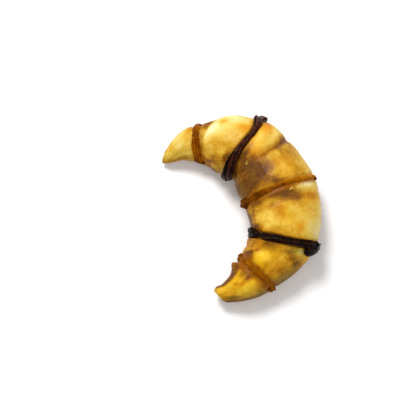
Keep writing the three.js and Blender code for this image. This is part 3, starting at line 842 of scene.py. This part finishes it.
# %% The tree of a wound strip
def section(tree, turn_round, wide, thick, ribs, rib_depth, phase, seat=0.0, squareness=0.8):
    """A band's section: how far a point of it is off the middle line, and how high."""
    across, up = turn_round.maths("COSINE"), turn_round.maths("SINE")
    strand = abs((turn_round * ribs * 0.5 + phase).maths("COSINE"))
    swell = 1 + rib_depth * (strand - 0.65)
    square_across = across.maths("SIGN") * abs(across) ** tree.maths("MINIMUM", squareness, 1.0)
    square_up = up.maths("SIGN") * abs(up) ** squareness * swell
    lying = square_up.maths("MAXIMUM", 0.0) * seat + (square_up * 0.5 + 0.5) * (1 - seat)
    return wide * square_across * swell, thick * lying, strand


def grid(tree, around, across):
    """A flat grid, and how far along each of its sides a point is, from 0 to 1, before the point moves."""
    sockets = {"Size X": 1.0, "Size Y": 1.0, "Vertices X": around, "Vertices Y": across}
    mesh = tree.add("GeometryNodeMeshGrid", {}, sockets)
    place = tree.add("ShaderNodeSeparateXYZ", {}, {"Vector": point_place(tree)})
    return mesh, place.out("X") + 0.5, place.out("Y") + 0.5


def closed(tree, geometry):
    return tree.add("GeometryNodeMergeByDistance", {}, {"Geometry": geometry, "Distance": 0.004 * MM})


def band_group(name, sizes):
    """A group for a band, and its sizes as wires."""
    sockets = [(size, "Float", 1.0) for size in sizes]
    sockets += [("Seed", "Float", 0.0), ("Material", "Material", None)]
    tree = new_group(name, sockets, [("Geometry", "Geometry")])
    return tree, {size: tree.start.out(size) for size in sizes}


LUMP_PLACES, LUMP_SIZES = ("Outer", "Inner", "Waist"), ("angle", "reach", "height", "widen")
LOOP_POINTS = (420, 56)  # round the roll, and round the section
# Where a strip's outer half is painted lighter, a painted light, and where its inner half is painted darker,
# a painted shade, as section angles and reaches.
LIT_MIDDLE, LIT_REACH = 38.0, 44.0  # where a pale strip glows, in section angles, and where it is browner
SHADED_MIDDLE, SHADED_REACH = 128.0, 28.0


def strip_tree():
    sizes = ["At", "Half width", "Thickness", "Ribs", "Rib depth", "Twist", "Frill", "Wander", "Roughness",
             "Seat", "Squareness", "Gap", "Fray", "Pale", "Slide", "Slide across"]
    sizes += [place + " " + name for place in LUMP_PLACES for name in LUMP_SIZES]
    tree, size = band_group("wound strip", sizes)
    mesh, share_round, share_across = grid(tree, *LOOP_POINTS)
    angle = share_round * 360 - 90
    across, up = directions(angle)
    turn_round = (share_across * 2 - 0.5) * math.pi
    lap = tree.vector(across * 3, up * 3, tree.start.out("Seed"))
    above = tree.smooth(-0.15, 0.35, up)
    thick, wide, lumps = size["Thickness"], 0.0, {}
    for place in LUMP_PLACES:
        lumps[place] = hill_of(turn_between(angle, size[place + " angle"]), size[place + " reach"])
        thick = thick + lumps[place] * size[place + " height"]
        wide = lumps[place] * size[place + " widen"] + wide
    uneven = tree.noise(lap, 1.4, 3.0) * above
    thick = thick * (1 + uneven * 0.16)
    wide = size["Half width"] + wide * above + (1 - above) * 0.4
    wide = wide * (1 + tree.noise(lap, 2.6, 3.0) * above * 0.24)
    phase = angle * (math.pi / 180) * size["Twist"] + uneven * 0.5
    away, rise, strand = section(tree, turn_round, wide, thick, size["Ribs"], size["Rib depth"], phase,
                                 size["Seat"] * above, size["Squareness"])
    edge = tree.smooth(0.55, 1.0, abs(turn_round.maths("COSINE")))
    frill_place = tree.vector(across * 5, up * 5, turn_round.maths("COSINE"))
    frill = tree.noise(frill_place, 1.0, 2.0, 0.6) * edge * size["Frill"] * size["Fray"] * above
    wander = tree.noise(lap, 0.8, 1.0) * size["Wander"] * size["Fray"] * above
    away = away + frill * turn_round.maths("COSINE").maths("SIGN") + wander
    away = away + size["Slide"] + size["Slide across"] * across
    row = size["At"] + away / MM_PER_DEGREE
    place = on_skin(tree, row, angle, rise + size["Gap"])
    # Lit half: the outer half painted lighter, a painted light, and the inner half darker, a painted shade.
    pale = hill_of(turn_between(angle, LIT_MIDDLE), LIT_REACH)
    pale = (pale - hill_of(turn_between(angle, SHADED_MIDDLE), SHADED_REACH) * 0.5) * size["Pale"]
    # The strand value also carries the lit half's painted light and shade.
    stored = {"strand": strand - lumps["Inner"] * 0.5 + pale, "edge": edge * (1 - lumps["Inner"]),
              "above": above}
    shaped = closed(tree, put(tree, store_all(tree, mesh, stored), place))
    position = point_place(tree)
    rough = tree.noise(position, 650.0, 3.0, 0.6) + tree.noise(position, 300.0, 1.0) * 1.2
    rough = rough * size["Roughness"] * size["Fray"] * named(tree, "above")
    shaped = push_out(tree, shaped, rough)
    finished_end(tree, shaped, tree.start.out("Material"))
    return tree


STRIP_TREE = strip_tree()
print("a wound strip's tree has", len(STRIP_TREE.tree.nodes), "nodes")

# %% [markdown]
# ## Loose ends
# A dark strip is tied by crossing its ends, which stick out beside the loop. Such an end is a short bar that
# leaves the loop at the side of the roll, lies on the skin and stops in a torn tip.

# %% The tree of a loose end
END_POINTS = (90, 48)  # along the end, and round its section
TIP_SHARE, ROOT_SHARE = 0.3, 0.14  # how much of its length is rounded off at either side


def end_tree():
    sizes = ["At", "From", "To", "Start", "Reach", "Width", "Flatness", "Ribs", "Rib depth", "Lift",
             "Roughness"]
    tree, size = band_group("loose end", sizes)
    mesh, share, share_across = grid(tree, *END_POINTS)
    turn_round = (share_across * 2 - 0.5) * math.pi
    nose = ((share - (1 - TIP_SHARE)) / TIP_SHARE).maths("MAXIMUM", 0.0)
    root = ((ROOT_SHARE - share) / ROOT_SHARE).maths("MAXIMUM", 0.0)
    left_at_tip, left_at_root = (1 - part * part for part in (nose, root))
    left = left_at_tip.maths("MAXIMUM", 0.0).maths("SQRT") * left_at_root.maths("MAXIMUM", 0.0).maths("SQRT")
    wide = size["Width"] * (1 + hill(share - 0.62, 0.3) * 0.15) * left
    lane = tree.vector(share * 3, size["Width"], tree.start.out("Seed"))
    wide = wide * (1 + tree.noise(lane, 2.0, 2.0) * 0.14)
    rib_depth = size["Rib depth"] * left * left
    thick = wide * size["Flatness"] * 2
    away, rise, strand = section(tree, turn_round, wide, thick, size["Ribs"], rib_depth, share * 0.8)
    middle = size["From"] + (size["To"] - size["From"]) * share
    row = size["At"] + (size["Start"] + (size["Reach"] - size["Start"]) * share + away) / MM_PER_DEGREE
    lean = ((size["To"] - size["From"]) * (size["Reach"] - size["Start"])).maths("SIGN") * 4
    height = rise + (size["Width"] * size["Flatness"] - wide * size["Flatness"]) + size["Lift"]
    place = on_skin(tree, row, middle - lean * away, height, 1.0)
    stored = {"strand": strand, "edge": 0.0, "left": left * left}
    shaped = closed(tree, put(tree, store_all(tree, mesh, stored), place))
    position = point_place(tree)
    rough = tree.noise(position, 650.0, 3.0, 0.6) + tree.noise(position, 260.0, 1.0) * 0.7
    shaped = push_out(tree, shaped, rough * size["Roughness"] * named(tree, "left"))
    finished_end(tree, shaped, tree.start.out("Material"))
    return tree


END_TREE = end_tree()
print("a loose end's tree has", len(END_TREE.tree.nodes), "nodes")

# %% [markdown]
# ## Nubs and crumbs
# Where an amber strip ends it has dripped and set in small dark nubs, and a few crumbs stick to the skin.
# They are all the same small lump at other sizes, so a tree puts one instance at each listed spot of the
# skin, makes them real and roughens them. A lump has only eighty faces.

# %% The tree of the lumps
def lump_tree():
    tree = new_group("lumps", [
        ("Geometry", "Geometry", None), ("Gap", "Float", 0.0), ("Roughness", "Float", 0.3),
        ("Material", "Material", None)], [("Geometry", "Geometry")])
    size = named(tree, "size")
    place = on_skin(tree, named(tree, "row"), named(tree, "angle"), size * 0.45 + tree.start.out("Gap"), 0.4)
    points = put(tree, tree.start.out("Geometry"), place)
    ball = tree.add("GeometryNodeMeshIcoSphere", {}, {"Radius": MM, "Subdivisions": 2})
    turned = tree.vector(size * 40, size * 25, size * 70)
    lumps = tree.add("GeometryNodeInstanceOnPoints", {}, {
        "Points": points, "Instance": ball, "Rotation": turned, "Scale": tree.vector(size, size * 1.4, size)})
    real = tree.add("GeometryNodeRealizeInstances", {}, {"Geometry": lumps})
    real = store_all(tree, real, {"strand": -0.1, "edge": 0.0})
    position = point_place(tree)
    rough = tree.noise(position, 500.0, 2.0, 0.6) * tree.start.out("Roughness")
    finished_end(tree, push_out(tree, real, rough), tree.start.out("Material"))
    return tree


LUMP_TREE = lump_tree()


def lumps_at(name, spots, material):
    """Lumps on the skin at spots given as (row, angle, size in millimetres)."""
    mesh = bpy.data.meshes.new("spots")
    mesh.from_pydata([(0.0, 0.0, 0.0)] * len(spots), [], [])
    for number, key in enumerate(("row", "angle", "size")):
        layer = mesh.attributes.new(key, "FLOAT", "POINT")
        layer.data.foreach_set("value", [float(spot[number]) for spot in spots])
    return run_tree(LUMP_TREE, mesh, name, material=material)


print("the lumps' tree has", len(LUMP_TREE.tree.nodes), "nodes")

# %% [markdown]
# ## The strips' finishes
# The amber strips let some light through: thin places glow orange and thick ones are nearly brown. The dark
# ones are almost black and a little purple. On both, the strands' ridges are painted lighter, a painted
# highlight, and the grooves between them darker, a painted shade.

# %% Amber and dark materials
def amber_material():
    material, tree = new_material("amber_strip")
    place = tree.add("ShaderNodeTexCoord").out("Object")
    cloud = tree.noise(place, 200.0, 4.0, 0.65)
    fine = tree.noise(place, 900.0, 2.0, 0.6)
    stops = [(0.0, (62, 28, 0)), (0.35, (110, 54, 0)), (0.65, (164, 92, 2)), (1.0, (214, 140, 20))]
    depth = 0.36 + cloud * 0.42 + fine * 0.14 + amount(tree, "edge") * 0.2
    # Lighter on the strands' ridges and darker between them, a painted highlight and painted shade; here the
    # strand value also holds the lit half's painted light and shade.
    depth = depth + (amount(tree, "strand") - 0.6) * 0.35
    colour = tree.add("ShaderNodeValToRGB", {"stops": stops}, {"Fac": depth}, "Color")
    colour = tint(tree, colour, amount(tree, "melt") * (0.6 + cloud * 0.7), (156, 94, 4))
    shader_end(tree, {
        "Base Color": colour, "Roughness": 0.4, "Specular IOR Level": 0.015,
        "Normal": bumped(tree, cloud + fine * 0.5, 0.4, 0.4 * MM),
        "Subsurface Weight": 0.15, "Subsurface Radius": (0.002, 0.0007, 0.0002), "Subsurface Scale": 1.0,
    })
    return material


def dark_material():
    material, tree = new_material("dark_strip")
    place = tree.add("ShaderNodeTexCoord").out("Object")
    cloud = tree.noise(place, 330.0, 3.0, 0.65)
    fine = tree.noise(place, 1100.0, 2.0, 0.6)
    stops = [(0.0, (6, 2, 0)), (0.35, (29, 11, 5)), (0.65, (74, 34, 18)), (1.0, (124, 70, 48))]
    # Lighter on the strands' ridges and darker between them: a painted highlight and painted shade.
    depth = amount(tree, "strand") * 0.36 + cloud * 0.38 + fine * 0.14 + amount(tree, "melt") + 0.03
    colour = tree.add("ShaderNodeValToRGB", {"stops": stops}, {"Fac": depth}, "Color")
    shader_end(tree, {
        "Base Color": colour, "Roughness": tree.clamp(0.28 + cloud * 0.1, 0.15, 0.6),
        "Normal": bumped(tree, cloud + fine * 0.4, 0.35, 0.4 * MM), "Specular IOR Level": 0.05,
    })
    return material


FINISH = {True: dark_material(), False: amber_material()}

# %% [markdown]
# ## Winding the strips
# Now the trees run for each strip, with that strip's own sizes. A strip, its loose ends and its nubs are
# joined into one piece, which stands for the strip's solid in the model.

# %% Wind them
def join_meshes(name, meshes, attributes, material):
    """One mesh from several, with their point attributes."""
    points, faces, values = [], [], {key: [] for key in attributes}
    for mesh in meshes:
        first = len(points)
        points += [vertex.co[:] for vertex in mesh.vertices]
        faces += [[first + index for index in face.vertices] for face in mesh.polygons]
        for key in attributes:
            values[key] += [item.value for item in mesh.attributes[key].data]
    joined = bpy.data.meshes.new(name)
    joined.from_pydata(points, [], faces)
    for key in attributes:
        joined.attributes.new(key, "FLOAT", "POINT").data.foreach_set("value", values[key])
    joined.shade_smooth()
    joined.materials.append(material)
    return joined


def facing_out(mesh):
    """Turns a closed mesh right side out where its volume comes out below zero."""
    mesh.calc_loop_triangles()
    corners = [[mesh.vertices[index].co for index in triangle.vertices] for triangle in mesh.loop_triangles]
    if sum(a.dot(b.cross(c)) for a, b, c in corners) < 0:
        mesh.flip_normals()
    return mesh


def set_everywhere(mesh, name, value):
    """Gives a mesh an attribute with one value on all its points."""
    mesh.attributes.new(name, "FLOAT", "POINT").data.foreach_set("value", [value] * len(mesh.vertices))


EMPTY = bpy.data.meshes.new("nothing")
STYLE = {
    True: {"ribs": 5.0, "rib_depth": 0.42, "twist": 2.2, "frill": 0.0, "wander": 0.45, "roughness": 0.1,
           "seat": 0.0, "squareness": 0.8, "gap": 0.2},
    False: {"ribs": 9.0, "rib_depth": 0.16, "twist": 0.3, "frill": 0.6, "wander": 0.3, "roughness": 0.08,
            "seat": 0.9, "squareness": 1.5, "gap": 0.04},
}
TAIL_STYLE = {"flatness": 0.7, "ribs": 5.0, "rib_depth": 0.25, "lift": 2 * GAP, "roughness": 0.08}


def wound_loop(strip, seed, finish):
    lumps = {}
    for place, lump in zip(LUMP_PLACES, strip["lumps"]):
        lumps.update({place.lower() + "_" + name: float(value) for name, value in zip(LUMP_SIZES, lump)})
    kept = {key: strip[key] for key in ("at", "thickness", "fray", "pale")}
    slide, slide_across = strip["slide"]
    return facing_out(run_tree(
        STRIP_TREE, EMPTY, strip["name"], half_width=strip["half_width"] * strip["spread"], slide=slide,
        slide_across=slide_across, seed=seed, material=finish, **kept, **lumps, **STYLE[strip["dark"]]))


def loose_end(at, tail, seed, finish, style):
    """A loose end or a sliver, with its ends given as angles and as millimetres along the roll."""
    start, stop, near, reach, width = (float(value) for value in tail)
    return facing_out(run_tree(
        END_TREE, EMPTY, "end", **{"from": start}, to=stop, at=at, start=near, reach=reach, width=width,
        seed=seed, material=finish, **style))


strip_pieces = {}
for number, strip in enumerate(STRIPS):
    finish = FINISH[strip["dark"]]
    meshes = [wound_loop(strip, 3.7 * number, finish)]
    for tail in strip["tails"]:
        meshes.append(loose_end(strip["at"], tail, 5.1 * number + tail[0], finish, TAIL_STYLE))
    if strip["nubs"]:
        nubs = [(strip["at"] + along, angle, size) for along, angle, size in strip["nubs"]]
        meshes.append(lumps_at("nubs", nubs, finish))
    name = strip["name"].replace("strip", "band")
    band = join_meshes(name, meshes, ["strand", "edge"], finish)
    set_everywhere(band, "melt", strip["melt"])
    strip_pieces[strip["name"]] = show(name, band)

# %% [markdown]
# ## Slivers and crumbs of crust
# In two places thin slivers of the skin have torn loose and lie crossed on it. They use the tree of the loose
# ends, very narrow. A few crumbs lie near the browned places and along the torn lower end. Both take the
# crust's finish, with the same light browning all over.

# %% Slivers and crumbs
# Slivers: row, and then as a tail. Crumbs: row, angle and size.
SLIVERS = [
    (73.4, (116, 123, 0, 1.9, 0.17)), (75.2, (122, 117, 0, 0.8, 0.13)), (112.2, (73, 80, 0, 0.5, 0.16)),
    (112.6, (79, 73, 0, -1.4, 0.15)),
]
SLIVER_STYLE = {"flatness": 0.5, "ribs": 4.0, "rib_depth": 0.2, "lift": 0.1, "roughness": 0.15}
CRUMBS = [
    (158, 112, 0.26), (186, 118, 0.3), (190, 121, 0.24), (95, 100, 0.18), (76, 118, 0.22), (168, 100, 0.24),
    (166, 118, 0.28), (194, 96, 0.3), (191, 80, 0.22), (202.4, 52, 0.45), (202.5, 96, 0.4),
    (202.2, 124, 0.45), (199.5, 82, 0.3),
]
bits = [loose_end(row, tail, row, CRUST, SLIVER_STYLE) for row, tail in SLIVERS]
loose_mesh = join_meshes("loose_crust", bits + [lumps_at("crumbs", CRUMBS, CRUST)], [], CRUST)
set_everywhere(loose_mesh, "toast_and_shade", TOAST_BASE)
loose_crust = show("loose_crust", loose_mesh)

# %% [markdown]
# ## Stage, light and camera
# The object lies on a plain white table under broad soft light from the upper left, seen steeply from above.
# A long lens keeps the perspective low.

# %% Stage, light and camera
def plain_floor():
    mesh = bpy.data.meshes.new("floor")
    size = 3.0
    corners = [(-size, -size, 0), (size, -size, 0), (size, size, 0), (-size, size, 0)]
    mesh.from_pydata(corners, [], [(0, 1, 2, 3)])
    floor = bpy.data.objects.new("floor", mesh)
    bpy.context.scene.collection.objects.link(floor)
    material, tree = new_material("floor_white")
    shader_end(tree, {"Base Color": (0.95, 0.95, 0.95, 1.0), "Roughness": 0.9, "Specular IOR Level": 0.0,
                      "Emission Color": (1.0, 1.0, 1.0, 1.0), "Emission Strength": 0.1})
    mesh.materials.append(material)


def soft_light(name, place, size, power, target=(-0.02, 0.0, 0.01)):
    lamp = bpy.data.lights.new(name, "AREA")
    lamp.shape, lamp.size, lamp.energy = "DISK", size, power
    light = bpy.data.objects.new(name, lamp)
    light.location = place
    light.rotation_euler = (Vector(target) - Vector(place)).to_track_quat("-Z", "Y").to_euler()
    bpy.context.scene.collection.objects.link(light)


plain_floor()
soft_light("key", (-0.35, 0.65, 1.1), 0.6, 15.0)
soft_light("fill", (0.5, -0.7, 1.0), 0.9, 3.0)
world = bpy.data.worlds.new("studio")
world.use_nodes = True
background = world.node_tree.nodes["Background"]
background.inputs["Color"].default_value = (1.0, 1.0, 1.0, 1.0)
background.inputs["Strength"].default_value = 0.4
bpy.context.scene.world = world
bpy.context.scene.view_settings.view_transform = "Standard"

LOOK_AT = Vector((-25.7, 4.25, 15.0)) * MM
ELEVATION = math.radians(72)
LENS, SENSOR = 400.0, 36.0
PICTURE_WIDTH = 400 * 0.62 * MM  # the photograph's 400 pixels, at 0.62 mm each
camera_data = bpy.data.cameras.new("camera")
camera_data.lens, camera_data.sensor_width = LENS, SENSOR
distance = LENS / SENSOR * PICTURE_WIDTH
camera = bpy.data.objects.new("camera", camera_data)
camera.location = LOOK_AT + Vector((0.0, -math.cos(ELEVATION), math.sin(ELEVATION))) * distance
camera.rotation_euler = (LOOK_AT - camera.location).to_track_quat("-Z", "Y").to_euler()
bpy.context.scene.collection.objects.link(camera)
bpy.context.scene.camera = camera
print("camera", round(distance, 3), "m away")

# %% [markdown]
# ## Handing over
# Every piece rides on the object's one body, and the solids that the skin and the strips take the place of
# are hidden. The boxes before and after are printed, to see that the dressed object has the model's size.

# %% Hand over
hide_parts("roll")
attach(roll_skin, "root")
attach(loose_crust, "root")
for node, piece in strip_pieces.items():
    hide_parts(node)
    "dark_strip" if "dark" in node else "amber_strip"
    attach(piece, "root")
